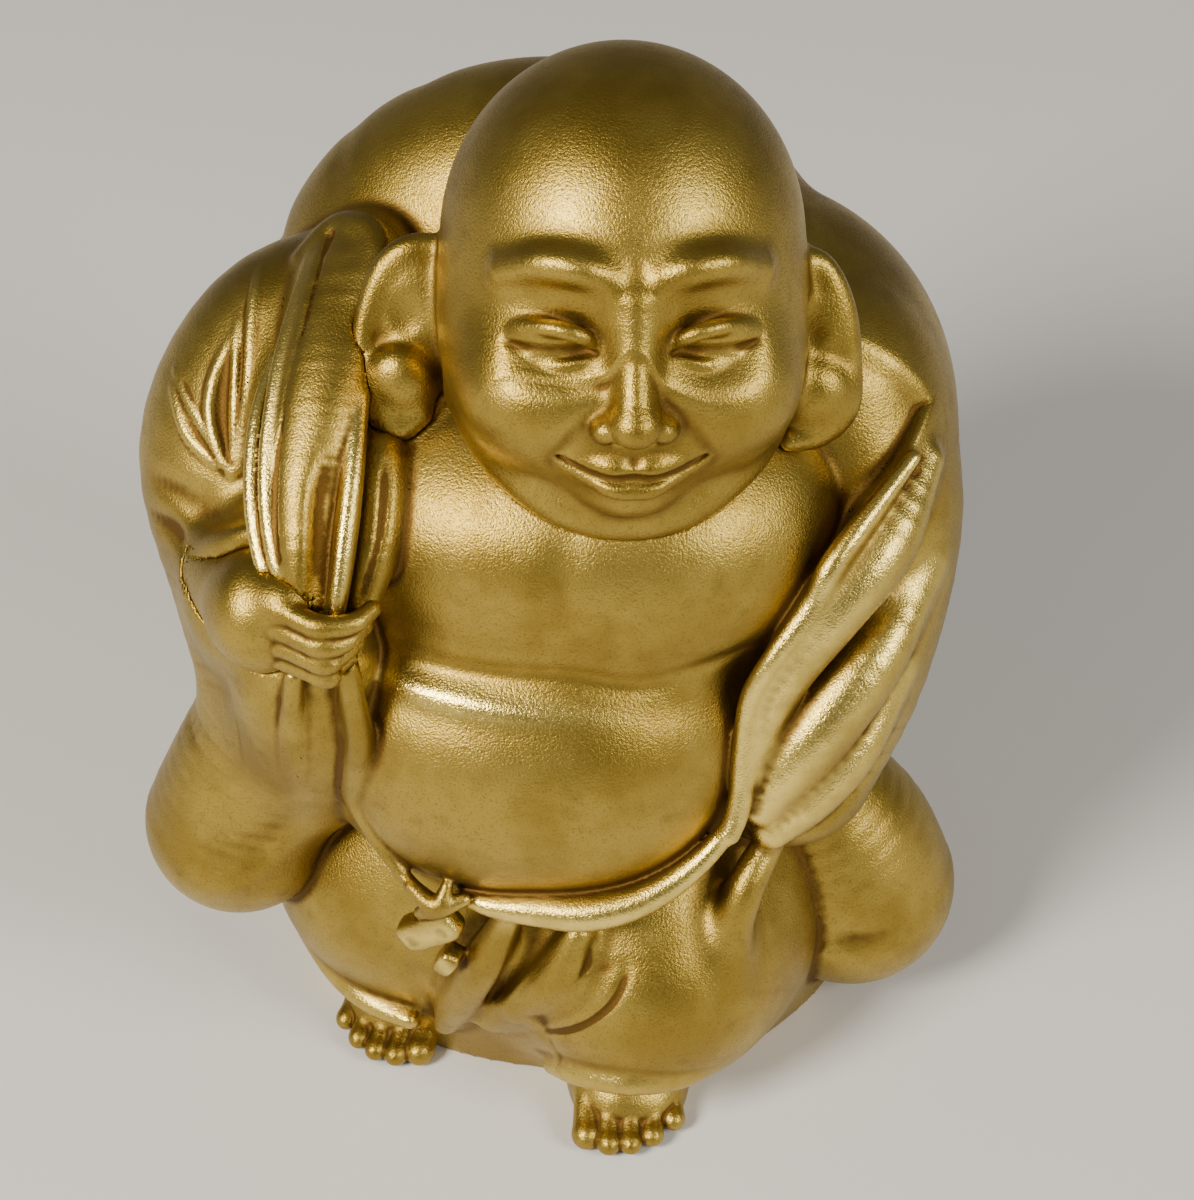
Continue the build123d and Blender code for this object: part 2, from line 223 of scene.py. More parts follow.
def run_distance(x, y, z, start, end):
    """Distance to one run of a tube, whose radius goes evenly from one end's to the other's."""
    run = end[:3] - start[:3]
    length2 = max(float(run @ run), 1e-9)
    x, y, z = x - np.float32(start[0]), y - np.float32(start[1]), z - np.float32(start[2])
    t = np.clip((x * run[0] + y * run[1] + z * run[2]) / length2, 0, 1).astype(np.float32)
    away = np.sqrt((x - t * run[0]) ** 2 + (y - t * run[1]) ** 2 + (z - t * run[2]) ** 2)
    return away - (start[3] + t * (end[3] - start[3]))


class Line:
    """A curve for creases, ridges and polish: points (x, y, z, strength from 0 to 1)."""

    def __init__(self, points, per_run=5):
        points = [tuple(p) if len(p) == 4 else (*p, 1.0) for p in points]
        self.path = smooth_path(points, per_run)
        self.low, self.high = self.path[:, :3].min(axis=0), self.path[:, :3].max(axis=0)

    def strength(self, x, y, z, width):
        found = np.zeros(np.broadcast_shapes(x.shape, y.shape, z.shape), np.float32)
        for start, end in zip(self.path[:-1], self.path[1:]):
            run = end[:3] - start[:3]
            length2 = max(float(run @ run), 1e-9)
            dx, dy, dz = x - start[0], y - start[1], z - start[2]
            t = np.clip((dx * run[0] + dy * run[1] + dz * run[2]) / length2, 0, 1)
            away2 = (dx - t * run[0]) ** 2 + (dy - t * run[1]) ** 2 + (dz - t * run[2]) ** 2
            level = np.clip(start[3] + t * (end[3] - start[3]), 0, 1)
            found = np.maximum(found, level * np.exp(-away2 / width**2))
        return found.astype(np.float32)


class Opening(Shape):
    """The open front between two lapel edges, given as (z, x) from low to high."""

    def __init__(self, right_edge, left_edge, back):
        self.right, self.left, self.back = np.array(right_edge), np.array(left_edge), back
        bottom = min(self.right[0, 0], self.left[0, 0])
        top = max(self.right[-1, 0], self.left[-1, 0])
        self.low = np.array([self.right[:, 1].min(), -30.0, bottom])
        self.high = np.array([self.left[:, 1].max(), back, top])

    def distance(self, x, y, z, grid=None):
        right = np.interp(z, self.right[:, 0], self.right[:, 1])
        left = np.interp(z, self.left[:, 0], self.left[:, 1])
        ends = np.maximum(self.low[2] - z, z - self.high[2])
        inside = np.maximum(np.maximum(right - x, x - left), y - self.back)
        return np.maximum(inside, ends).astype(np.float32)


# ---- meshes from fields --------------------------------------------------------------------
def sample(field, grid, points):
    """The field's value at points between the grid's, by straight interpolation."""
    at = (points - grid.low) / grid.step
    cell = np.clip(np.floor(at).astype(int), 0, np.array(field.shape) - 2)
    share = (at - cell).astype(np.float32)
    total = np.zeros(len(points), np.float32)
    for corner in np.ndindex(2, 2, 2):
        weight = np.ones(len(points), np.float32)
        for axis in range(3):
            weight *= share[:, axis] if corner[axis] else 1 - share[:, axis]
        i, j, k = (cell + corner).T
        total += weight * field[i, j, k]
    return total


def slopes(field, grid, points, reach=0.5):
    """The direction in which the field grows fastest at each point."""
    out = np.empty((len(points), 3), np.float32)
    for axis in range(3):
        step = np.zeros(3)
        step[axis] = reach * grid.step
        out[:, axis] = sample(field, grid, points + step) - sample(field, grid, points - step)
    return out / (2 * reach * grid.step)


def net(field, labels, grid):
    """One shared net of points and four-sided faces between the labelled parts of a solid.

    Label 0 is the outside. Returns the points, which of them lie on the outside surface, and
    the faces as (label below, label above, four points).
    """
    shape = np.array(labels.shape)
    stride = np.array([shape[1] * shape[2], shape[2], 1])
    cells, places, outer, rings, pairs = [], [], [], [], []
    for axis in range(3):
        lower = tuple(slice(0, -1) if a == axis else slice(None) for a in range(3))
        upper = tuple(slice(1, None) if a == axis else slice(None) for a in range(3))
        at = np.argwhere(labels[lower] != labels[upper])
        step = np.eye(3, dtype=int)[axis]
        below, above = labels[tuple(at.T)], labels[tuple((at + step).T)]
        near, far = field[tuple(at.T)], field[tuple((at + step).T)]
        open_side = (below == 0) | (above == 0)
        share = np.where(open_side, near / np.where(near == far, 1, near - far), 0.5)
        place = at + np.clip(share, 0, 1)[:, None] * step
        b, c = [np.eye(3, dtype=int)[a] for a in range(3) if a != axis]
        turn = 1 if axis != 1 else -1
        around = [-b - c, -c, 0 * b, -b][::turn]
        ring = np.stack([(at + offset) @ stride for offset in around], axis=1)
        cells.append(ring.ravel())
        places.append(np.repeat(place, 4, axis=0))
        outer.append(np.repeat(open_side, 4))
        rings.append(ring)
        pairs.append(np.stack([below, above], axis=1))
    cells, places, outer = np.concatenate(cells), np.concatenate(places), np.concatenate(outer)
    rings, pairs = np.concatenate(rings), np.concatenate(pairs)
    number = np.full(int(shape.prod()), -1, np.int64)
    used = np.unique(cells)
    number[used] = np.arange(len(used))
    owner = number[cells]
    weight = np.where(outer, 1.0, 0.0)
    outer_count = np.bincount(owner, weight, len(used))
    weight = np.where(outer_count[owner] > 0, weight, 1.0)
    total = np.bincount(owner, weight, len(used))
    sums = [np.bincount(owner, weight * places[:, i], len(used)) for i in range(3)]
    points = grid.low + grid.step * np.stack([one / total for one in sums], axis=1)
    on_surface = outer_count > 0
    for _ in range(2):
        here = points[on_surface]
        slope = slopes(field, grid, here)
        move = sample(field, grid, here)[:, None] * slope / np.maximum((slope**2).sum(axis=1), 0.05)[:, None]
        length = np.linalg.norm(move, axis=1, keepdims=True)
        points[on_surface] = here - move * np.minimum(1, 0.4 * grid.step / np.maximum(length, 1e-9))
    return points, on_surface, pairs, number[rings]


def build_mesh(name, points, faces, normals, marks):
    mesh = bpy.data.meshes.new(name)
    mesh.vertices.add(len(points))
    mesh.vertices.foreach_set("co", ((points + SHIFT) * MM).astype(np.float32).ravel())
    mesh.loops.add(faces.size)
    mesh.loops.foreach_set("vertex_index", faces.ravel().astype(np.int32))
    mesh.polygons.add(len(faces))
    mesh.polygons.foreach_set("loop_start", np.arange(0, faces.size, 4, dtype=np.int32))
    mesh.update(calc_edges=True)
    mesh.polygons.foreach_set("use_smooth", np.ones(len(faces), bool))
    for label, values in marks.items():
        layer = mesh.attributes.new(label, "FLOAT", "POINT")
        layer.data.foreach_set("value", values.astype(np.float32))
    mesh.validate()
    mesh.normals_split_custom_set_from_vertices([tuple(n) for n in normals])
    piece = bpy.data.objects.new(name, mesh)
    bpy.context.collection.objects.link(piece)
    return piece


def hollows(field, grid, points):
    """How hollow the surface is at each point: below zero on ridges, above it in creases."""
    reach = 2.2 * grid.step if grid.step < 0.2 else 1.6 * grid.step
    around = -6 * sample(field, grid, points)
    for axis in range(3):
        step = np.zeros(3)
        step[axis] = reach
        around += sample(field, grid, points + step) + sample(field, grid, points - step)
    return -around / reach**2


def make_pieces(names, fields, whole, grid, polish_and_highlight_lines, crease_shade=1.0):
    """A closed mesh for each named field, all sharing one outside surface.

    The last argument is the share of the painted shade that their hollows keep.
    """
    stack = np.stack([form.d for form in fields])
    labels = (np.argmin(stack, axis=0) + 1).astype(np.uint8)
    del stack
    labels[whole > 0] = 0
    points, on_surface, pairs, rings = net(whole, labels, grid)
    points[:, 2] = np.maximum(points[:, 2], 0.0)
    slope = slopes(whole, grid, points, 0.8)
    length = np.linalg.norm(slope, axis=1, keepdims=True)
    normals = np.where(on_surface[:, None], slope / np.maximum(length, 1e-6), 0.0)
    # How hollow each point is; the gold material turns this into painted shade in the creases.
    hollow = hollows(whole, grid, points) * crease_shade
    # Strokes of burnish, which the gold material also paints brighter as a painted highlight.
    polish_and_highlight = np.zeros(len(points), np.float32)
    for line, width in polish_and_highlight_lines:
        near = np.all((points > line.low - 2.5 * width) & (points < line.high + 2.5 * width), axis=1)
        polish_and_highlight[near] = np.maximum(polish_and_highlight[near], line.strength(*points[near].T.astype(np.float32), width))
    made = {}
    for i, name in enumerate(names):
        outward = rings[pairs[:, 0] == i + 1]
        inward = rings[pairs[:, 1] == i + 1][:, ::-1]
        faces = np.concatenate([outward, inward])
        used, faces = np.unique(faces, return_inverse=True)
        faces = faces.reshape(-1, 4)
        marks = {"polish_and_highlight": polish_and_highlight[used], "hollow": hollow[used]}
        made[name] = build_mesh(f"{name}_cast", points[used], faces, normals[used], marks)
    return made


# ---- the sculpture -------------------------------------------------------------------------
def sculpt_torso(grid):
    """Belly and chest, with the crease between them."""
    torso = Form(grid)
    torso.join(Ball((-0.4, -3.6, 24.4), (14.4, 15.4, 11.4), power=2.3))
    torso.join(Ball((1.8, -2.6, 36.4), (15.0, 12.6, 9.4), power=2.3), 2.4)
    torso.join(Tube([(2.4, 0.5, 38, 9.0), (3.4, -1.5, 45, 7.0)]), 3.0)
    torso.crease(Line(BELLY_CREASE), 0.5, 0.5)
    torso.crease(Line(BELLY_ROLL), -0.35, 0.8)
    torso.crease(Line([(1.6, -15.6, 36.0, 0.2), (1.8, -15.2, 39.0, 0.8), (2.2, -13.8, 42.0, 0.3)]), 0.25, 1.0)
    return torso


BELLY_CREASE = [
    (-10.5, -12.4, 33.0, 0.2), (-6.6, -14.4, 33.3), (-2, -15.5, 33.4), (2, -15.6, 33.4), (6, -15.2, 32.6),
    (9.5, -13.8, 32.8), (12, -12, 33.6, 0.2),
]
BELLY_ROLL = [
    (-9.5, -13.8, 31.8, 0.3), (-6, -15.5, 32.0), (-2, -16.5, 31.9, 0.9), (2, -16.8, 31.8, 0.5),
    (6, -16.4, 31.4, 0.2),
]


def sculpt_skirt(grid):
    skirt = Form(grid)
    skirt.join(Drum(SKIRT_RINGS, 2.2))
    skirt.join(Ball((6.0, -9.0, 8.6), (9.6, 11.6, 9.6)), 3.0)
    skirt.join(Ball((-9.2, -5.4, 9.6), (8.4, 9.4, 8.4)), 3.0)
    for points, blend in SKIRT_FOLDS:
        skirt.join(Tube(points), blend)
    for points, depth, width in SKIRT_CREASES:
        skirt.crease(Line(points), depth, width)
    low, high = figure_box("base_plate")
    x, y = ((low + high) / 2)[:2]
    rx, ry = (high - low)[:2] / 2 + PLATE_SIDE_GAP
    recess = [(-3.0, x, y, rx, ry, ry), (high[2] + PLATE_TOP_GAP, x, y, rx, ry, ry)]
    skirt.cut(Drum(recess), 0.2)
    return skirt


SKIRT_RINGS = [
    (-1.5, 0.8, 0.3, 17.2, 14.8, 15.0), (2.0, 0.8, 0.3, 17.4, 15.6, 15.4),
    (8.0, 0.8, 0.3, 17.2, 17.0, 15.6), (13.0, 0.8, 0.3, 16.0, 17.0, 15.0),
    (18.0, 0.8, 0.3, 14.0, 15.6, 13.0), (21.0, 0.8, 0.3, 11.0, 13.0, 11.0),
]
SKIRT_FOLDS = [
    ([(-1.4, -17.6, 16.6, 0.9), (-2.8, -17.6, 13.0, 1.3), (-4.4, -16.8, 9.0, 1.2),
      (-6.0, -15.4, 4.6, 0.8)], 1.2),
    ([(2.6, -17.8, 15.8, 0.7), (1.6, -18.2, 13.0, 1.1), (-0.4, -17.8, 10.2, 0.9),
      (-3.0, -16.2, 6.0, 0.6)], 1.4),
    ([(-15.0, -9.8, 5.6, 0.5), (-13.2, -12.0, 4.7, 0.7), (-10.8, -13.9, 4.3, 0.75),
      (-8.2, -15.2, 4.3, 0.6)], 0.7),
    ([(0.6, -17.4, 3.4, 0.5), (2.4, -19.2, 5.0, 0.7), (5.4, -20.2, 5.8, 0.8), (8.4, -19.2, 5.4, 0.7),
      (10.4, -16.8, 5.0, 0.5)], 0.9),
    ([(2.2, -17.9, 15.6, 0.5), (1.0, -18.1, 12.6, 0.9), (-1.2, -17.4, 9.0, 0.7)], 0.8),
    ([(13.0, -13.4, 19.4, 0.9), (11.8, -15.2, 17.4, 1.1), (11.2, -16.2, 14.4, 0.9),
      (11.0, -16.8, 11.4, 0.4)], 1.8),
]
SKIRT_CREASES = [
    ([(-0.2, -18.0, 16.6, 0.5), (-1.0, -18.0, 14.0), (-2.2, -17.6, 11.0),
      (-3.0, -17.0, 9.0, 0.2)], 0.85, 0.5),
    ([(-9.0, -16.0, 12.0, 0.2), (-8.2, -16.2, 10.0), (-7.4, -15.8, 7.0), (-7.0, -15.2, 4.6, 0.6)], 0.7, 0.5),
    ([(3.3, -18.2, 15.4, 0.3), (3.0, -18.6, 14.0), (1.6, -18.8, 12.2), (-0.6, -18.2, 10.2),
      (-2.0, -17.6, 9.4, 0.2)], 0.22, 0.26),
    ([(5.0, -18.3, 15.2, 0.3), (5.2, -19.0, 13.6), (4.4, -19.6, 11.8), (2.6, -19.6, 9.8),
      (0.2, -18.6, 7.6), (-1.4, -17.8, 6.4, 0.2)], 0.22, 0.26),
]


def sculpt_robe(grid):
    robe = Form(grid)
    robe.join(Drum(ROBE_RINGS, 2.3))
    robe.join(Ball((13.6, 1.6, 37.8), (9.0, 10.4, 9.6)), 3.0)
    robe.join(Ball((10.0, 7.6, 36.6), (11.4, 9.6, 12.0)), 3.0)
    robe.join(Ball((-9.6, 0.0, 39.6), (9.6, 10.0, 9.0)), 3.0)
    robe.cut(Opening(RIGHT_EDGE, LEFT_EDGE, -2.0), 0.8)
    for points, depth, width in ROBE_CREASES:
        robe.crease(Line(points), depth, width)
    return robe


ROBE_RINGS = [
    (0.0, 0.6, 2.4, 17.6, 13.0, 14.4), (6.0, 0.6, 2.4, 19.2, 14.0, 16.0),
    (14.0, 0.6, 2.4, 18.8, 14.4, 16.4), (24.0, 0.6, 2.2, 17.8, 14.4, 16.4),
    (34.0, 0.8, 2.4, 18.0, 13.0, 15.6), (42.0, 1.0, 2.8, 16.0, 11.0, 13.0),
    (47.0, 1.4, 3.0, 11.0, 7.0, 8.0),
]
ROBE_CREASES = [
    ([(-10.0, 17.4, 4.0, 0.5), (-9.0, 18.4, 12.0), (-6.0, 18.6, 20.0, 0.2)], 0.8, 1.3),
    ([(-2.0, 18.2, 2.0, 0.5), (-1.6, 18.8, 11.0), (0.0, 19.0, 21.0, 0.2)], 0.8, 1.3),
    ([(7.0, 17.4, 3.0, 0.5), (6.6, 18.2, 12.0), (4.6, 18.8, 21.0, 0.2)], 0.8, 1.3),
    ([(14.6, 12.4, 4.0, 0.4), (13.6, 13.6, 12.0), (10.4, 16.4, 21.0, 0.2)], 0.7, 1.2),
    ([(-15.6, 11.0, 6.0, 0.4), (-14.6, 12.6, 14.0), (-11.4, 15.6, 22.0, 0.2)], 0.7, 1.2),
    ([(19.4, 2.0, 4.0, 0.5), (19.4, 3.0, 12.0), (18.2, 5.0, 22.0, 0.2)], 0.5, 1.1),
    ([(18.0, 8.0, 3.0, 0.5), (18.4, 8.8, 12.0), (16.8, 9.8, 24.0, 0.2)], 0.6, 1.1),
    ([(-17.6, 5.4, 4.0, 0.5), (-17.9, 6.2, 12.0), (-16.6, 7.8, 22.0, 0.2)], 0.6, 1.1),
]
RIGHT_EDGE = [
    (16.0, -10.0), (20.0, -11.0), (26.0, -11.0), (32.0, -9.6), (38.0, -7.0), (44.0, -4.0), (50.0, -2.0),
]
LEFT_EDGE = [
    (16.0, 6.0), (18.5, 9.0), (24.0, 11.8), (30.0, 12.0), (34.0, 13.4), (38.5, 17.0), (43.0, 21.0),
    (50.0, 24.0),
]


def sculpt_left_sleeve(grid):
    """The left arm under the robe, with three slanting folds and the lapel's raised edge."""
    sleeve = Form(grid)
    sleeve.join(Tube([(15.0, 1.6, 40.8, 6.2), (16.8, -1.0, 34.4, 6.3), (15.6, -4.8, 27.0, 6.2),
                      (13.8, -8.4, 21.4, 5.2)]))
    sleeve.join(Tube([(14.4, -4.4, 15.4, 4.6), (16.8, -4.4, 10.8, 5.8), (17.8, -4.6, 7.2, 6.4)]), 1.4)
    for points, blend in LEFT_FOLDS:
        sleeve.join(Tube(points), blend)
    for points, depth, width in LEFT_CREASES:
        sleeve.crease(Line(points), depth, width)
    return sleeve


LEFT_FOLDS = [
    ([(20.8, -3.8, 40.0, 0.9), (18.6, -7.8, 37.4, 1.9), (16.2, -10.2, 35.0, 1.9),
      (14.0, -11.8, 31.8, 1.5), (12.8, -12.8, 29.0, 1.1), (12.0, -13.8, 26.0, 0.7)], 1.4),
    ([(21.2, -4.8, 33.6, 0.9), (18.6, -9.0, 30.8, 1.9), (16.0, -11.4, 27.9, 2.2),
      (13.8, -12.8, 25.0, 2.0), (12.6, -13.8, 22.8, 1.2)], 0.8),
    ([(20.0, -7.8, 28.4, 0.7), (17.8, -10.8, 25.4, 1.5), (15.4, -12.5, 22.9, 1.7),
      (13.2, -13.6, 20.8, 1.2)], 0.7),
    ([(20.0, -5.4, 41.4, 0.4), (17.6, -8.6, 39.7, 0.6), (15.9, -10.6, 38.0, 0.7),
      (14.9, -11.4, 35.8, 0.7), (13.0, -12.8, 33.2, 0.6), (11.8, -13.4, 30.6, 0.6),
      (11.5, -14.2, 27.4, 0.6), (11.4, -15.2, 24.2, 0.6), (11.0, -16.0, 22.6, 0.5)], 0.9),
]
LEFT_CREASES = [
    ([(18.8, -10.6, 23.6, 0.3), (16.0, -12.6, 21.4), (13.6, -12.6, 19.2, 0.3)], 0.5, 0.8),
    ([(21.5, 1.2, 43.6, 0.3), (22.1, -1.6, 40.8), (21.9, -4.0, 38.4, 0.3)], -0.22, 0.28),
    ([(14.0, -12.0, 8.8, 0.2), (17.6, -11.0, 8.6, 0.9), (21.0, -9.4, 8.0, 0.3)], 0.35, 0.9),
]


def sculpt_right_sleeve(grid):
    """The right arm, raised to the sack's neck, with its wide cuff hanging below the fist."""
    sleeve = Form(grid)
    sleeve.join(Tube([(-10.6, 1.8, 42.6, 6.6), (-14.4, 0.6, 41.2, 6.6), (-16.6, -2.0, 37.0, 6.6),
                      (-15.6, -5.0, 31.0, 6.0), (-15.2, -8.0, 26.6, 4.8)]))
    sleeve.join(Tube([(-15.0, -8.6, 25.0, 4.3), (-17.0, -9.4, 19.6, 5.0), (-18.4, -9.6, 15.2, 5.6)]), 1.4)
    sleeve.join(Tube([(-13.6, -10.6, 37.0, 3.4), (-12.6, -12.6, 32.0, 4.3), (-12.6, -12.2, 27.0, 4.4),
                      (-13.6, -10.0, 21.0, 4.2)]), 2.4)
    sleeve.join(Ball((-16.6, -9.4, 33.4), (3.2, 4.0, 4.6)), 2.0)
    sleeve.join(Tube([(-13.8, -12.4, 40.6, 0.4), (-15.6, -12.0, 39.4, 0.6), (-17.0, -11.2, 38.0, 0.7),
                      (-18.0, -10.2, 36.2, 0.6), (-18.4, -9.6, 34.6, 0.5)]), 0.9)
    for points, depth, width in RIGHT_CREASES:
        sleeve.crease(Line(points), depth, width)
    return sleeve


ELBOW_RIDGES = [
    [(-15.9, 0.6, 47.7, 0.2), (-15.9, -1.5, 47.4), (-15.9, -5.1, 44.6), (-16.3, -7.6, 40.5)],
    [(-16.7, -2.4, 46.6, 0.2), (-16.6, -4.9, 44.5), (-16.6, -7.6, 40.5)],
    [(-17.0, -3.0, 45.9, 0.2), (-17.9, -4.6, 44.2), (-18.0, -6.0, 42.6), (-17.2, -7.3, 40.9),
     (-16.7, -7.7, 40.2)],
    [(-20.4, -2.9, 43.5, 0.2), (-18.7, -5.8, 42.4), (-17.2, -7.4, 40.7)],
    [(-20.5, -3.7, 43.0, 0.2), (-19.4, -6.1, 41.6), (-17.7, -7.4, 40.6, 0.4)],
]
RIGHT_CREASES = [(points, -0.5, 0.22) for points in ELBOW_RIDGES] + [
    ([(-16.2, -1.6, 47.0, 0.2), (-16.25, -5.0, 44.4), (-16.4, -7.2, 41.0, 0.4)], 0.3, 0.26),
    ([(-17.0, -4.0, 45.2, 0.2), (-17.3, -5.8, 43.3), (-16.9, -7.2, 41.2, 0.3)], 0.35, 0.35),
    ([(-19.6, -4.2, 43.4, 0.2), (-18.4, -6.2, 42.0), (-17.4, -7.2, 41.0, 0.3)], 0.25, 0.3),
    ([(-21.4, -6.4, 38.4, 0.3), (-20.0, -7.7, 38.6), (-18.6, -8.6, 38.4),
      (-17.2, -9.2, 38.6, 0.3)], 0.45, 0.8),
    ([(-21.6, -6.4, 36.0, 0.3), (-20.2, -8.2, 36.2), (-19.2, -9.2, 35.6, 0.4)], 0.4, 0.7),
    ([(-13.4, -12.6, 22.4, 0.3), (-14.4, -13.6, 20.8), (-16.0, -14.5, 18.9), (-18.4, -15.0, 17.6),
      (-19.6, -14.8, 17.4, 0.2)], 0.25, 1.2),
    ([(-14.6, -14.2, 17.6, 0.3), (-17.6, -15.0, 15.6), (-20.6, -14.0, 14.6, 0.3)], -0.3, 0.9),
    ([(-22.6, -4.0, 25.6, 0.2), (-21.6, -8.6, 24.6, 0.9), (-19.6, -11.6, 23.6, 0.2)], 0.35, 0.9),
]


def sculpt_sack(grid):
    sack = Form(grid)
    sack.join(Ball((-0.6, 9.6, 37.6), (17.2, 11.0, 17.4), (0, 18, 0)))
    for points, depth, width in SACK_CREASES:
        sack.crease(Line(points), depth, width)
    return sack


SACK_CREASES = [
    ([(-13.4, 5.0, 49.4, 0.6), (-12.2, 10.4, 50.2, 0.15), (-10.8, 15.4, 47.6, 0.8),
      (-8.6, 19.4, 41.0, 0.2)], 0.4, 1.0),
    ([(-8.4, 12.0, 53.0, 0.1), (-6.6, 16.0, 50.0), (-4.0, 19.8, 43.0, 0.2)], 0.4, 1.1),
    ([(-16.4, 8.4, 44.0, 0.1), (-15.6, 12.0, 43.2), (-13.6, 16.6, 39.0, 0.2)], 0.4, 1.0),
    ([(-10.0, 18.6, 30.0, 0.2), (-3.0, 20.4, 27.0), (5.0, 20.2, 26.6), (11.0, 17.6, 29.4, 0.2)], 0.4, 1.4),
]


def sculpt_sack_neck(grid):
    """The sack's gathered neck over the shoulder, and its end hanging below the fist."""
    neck = Form(grid)
    for points, blend in NECK_PLEATS:
        neck.join(Tube(points), blend)
    for points, depth, width in NECK_CREASES:
        neck.crease(Line(points), depth, width)
    return neck


NECK_PLEATS = [
    ([(-11.2, 6.0, 44.6, 3.0), (-11.4, 0.4, 47.0, 2.8), (-11.6, -6.0, 46.3, 2.3),
      (-11.7, -10.4, 44.2, 2.0), (-11.6, -13.8, 41.6, 1.7), (-11.5, -15.8, 38.8, 1.2)], 0.0),
    ([(-9.6, 6.0, 45.6, 2.8), (-9.9, 0.0, 48.4, 2.6), (-10.3, -5.4, 47.2, 2.0), (-10.4, -8.8, 45.6, 1.6),
      (-10.5, -11.0, 44.0, 1.1)], 1.6),
    ([(-13.4, 0.6, 48.6, 0.4), (-11.6, 1.6, 50.2, 0.5), (-9.8, 0.4, 51.1, 0.6), (-8.9, -1.4, 50.8, 0.6),
      (-9.3, -4.0, 49.4, 0.5), (-9.6, -7.6, 46.8, 0.4)], 1.2),
    ([(-8.3, -7.4, 43.4, 1.2), (-8.1, -9.6, 42.8, 1.6), (-8.2, -12.6, 40.2, 1.5),
      (-8.9, -14.8, 37.4, 1.0)], 0.5),
    ([(-9.0, -8.6, 46.6, 0.4), (-9.1, -11.8, 44.6, 0.6), (-9.4, -14.2, 42.2, 0.75),
      (-9.8, -16.2, 39.4, 0.7), (-10.1, -16.8, 37.6, 0.5)], 0.3),
    ([(-12.6, 0.6, 49.4, 0.35), (-13.1, -3.4, 48.6, 0.45), (-13.6, -7.4, 46.9, 0.5),
      (-13.8, -11.2, 44.2, 0.5), (-13.4, -14.0, 41.6, 0.5), (-12.5, -16.3, 39.1, 0.4)], 0.25),
    ([(-14.2, -5.6, 46.6, 0.3), (-14.7, -9.0, 44.9, 0.45), (-14.6, -12.2, 42.4, 0.5),
      (-13.8, -15.0, 39.9, 0.45), (-12.8, -16.8, 38.2, 0.4)], 0.25),
    ([(-9.6, -16.4, 36.0, 0.6), (-9.4, -16.6, 32.4, 0.75), (-9.3, -16.4, 29.0, 0.9),
      (-9.8, -15.8, 26.0, 0.8), (-10.0, -15.4, 23.6, 0.6), (-8.9, -16.2, 21.0, 0.45),
      (-7.0, -17.4, 18.9, 0.4), (-5.8, -17.8, 18.0, 0.4)], 0.9),
    ([(-12.2, -16.8, 35.4, 0.5), (-12.6, -17.0, 31.8, 0.6), (-13.0, -16.2, 27.0, 0.6),
      (-13.6, -14.4, 22.6, 0.3)], 0.9),
]
NECK_CREASES = [
    ([(-11.7, 0.4, 50.4, 0.6), (-12.0, -4.0, 49.2), (-12.6, -8.6, 46.9), (-13.0, -12.8, 43.6),
      (-12.7, -15.4, 41.0, 0.3)], 0.4, 0.28),
    ([(-10.4, -12.2, 45.0, 0.2), (-10.5, -14.0, 43.2), (-10.6, -16.0, 40.4),
      (-10.7, -17.0, 38.4, 0.5)], 0.7, 0.6),
    ([(-7.6, -10.8, 44.0, 0.3), (-7.8, -13.2, 41.2), (-8.6, -15.4, 38.4, 0.3)], 0.3, 0.3),
    ([(-13.4, -17.2, 34.0, 0.6), (-13.8, -16.9, 31.4), (-14.6, -15.8, 27.8, 0.3)], 0.3, 0.4),
    ([(-11.2, -17.6, 34.4, 0.5), (-11.2, -17.4, 31.4), (-11.5, -17.0, 28.4, 0.2)], 0.25, 0.4),
    ([(-10.2, -17.4, 33.0, 0.4), (-10.2, -17.2, 29.8), (-10.8, -16.6, 27.0),
      (-11.2, -15.6, 24.0, 0.3)], 0.3, 0.4),
]


def sculpt_sash(grid):
    """The waistband's bright rim under the belly, its little knot and two flat ends."""
    sash = Form(grid)
    sash.join(Tube(WAIST_RIM))
    sash.join(Tube([(-6.8, -17.9, 19.0, 0.4), (-5.4, -18.5, 18.2, 0.6), (-3.8, -18.2, 18.6, 0.4)]), 0.2)
    sash.join(Tube([(-6.4, -18.1, 17.2, 0.4), (-5.2, -18.5, 18.3, 0.6), (-4.8, -18.0, 19.4, 0.35)]), 0.2)
    sash.join(Ball((-5.9, -18.0, 15.9), (2.0, 0.85, 1.0), (0, -34, -12), 5.0), 0.2)
    sash.join(Ball((-5.0, -18.1, 13.4), (0.9, 0.8, 0.6), (0, -60, -10), 5.0), 0.2)
    return sash


WAIST_RIM = [
    (-4.2, -17.4, 18.0, 0.4), (-2.4, -17.8, 17.8, 0.7), (0.4, -18.0, 17.9, 1.05),
    (3.2, -18.2, 18.1, 1.15), (6.1, -17.8, 18.9, 1.0), (8.8, -16.8, 20.5, 0.75),
    (10.8, -15.7, 22.7, 0.55), (11.4, -15.0, 24.6, 0.4),
]


# The head's own axes: X to the figure's left, -Y out of the face, +Z to the crown.
HEAD_MIDDLE = (4.3, -2.7, 53.1)
HEAD_TURN = (-8, 3, 8)  # it looks up a little, leans to its left and turns to its left
HEAD_AXES = Euler([radians(a) for a in HEAD_TURN]).to_matrix()


def on_head(x, y, z, *rest):
    return (*(Vector(HEAD_MIDDLE) + HEAD_AXES @ Vector((x, y, z))), *rest)


def head_ball(centre, radii):
    return Ball(on_head(*centre), radii, HEAD_TURN)


def head_tube(points):
    return Tube([on_head(*point) for point in points])


def head_line(points):
    return Line([on_head(*point) for point in points])


def both_sides(points):
    return [points, [(-point[0], *point[1:]) for point in points]]


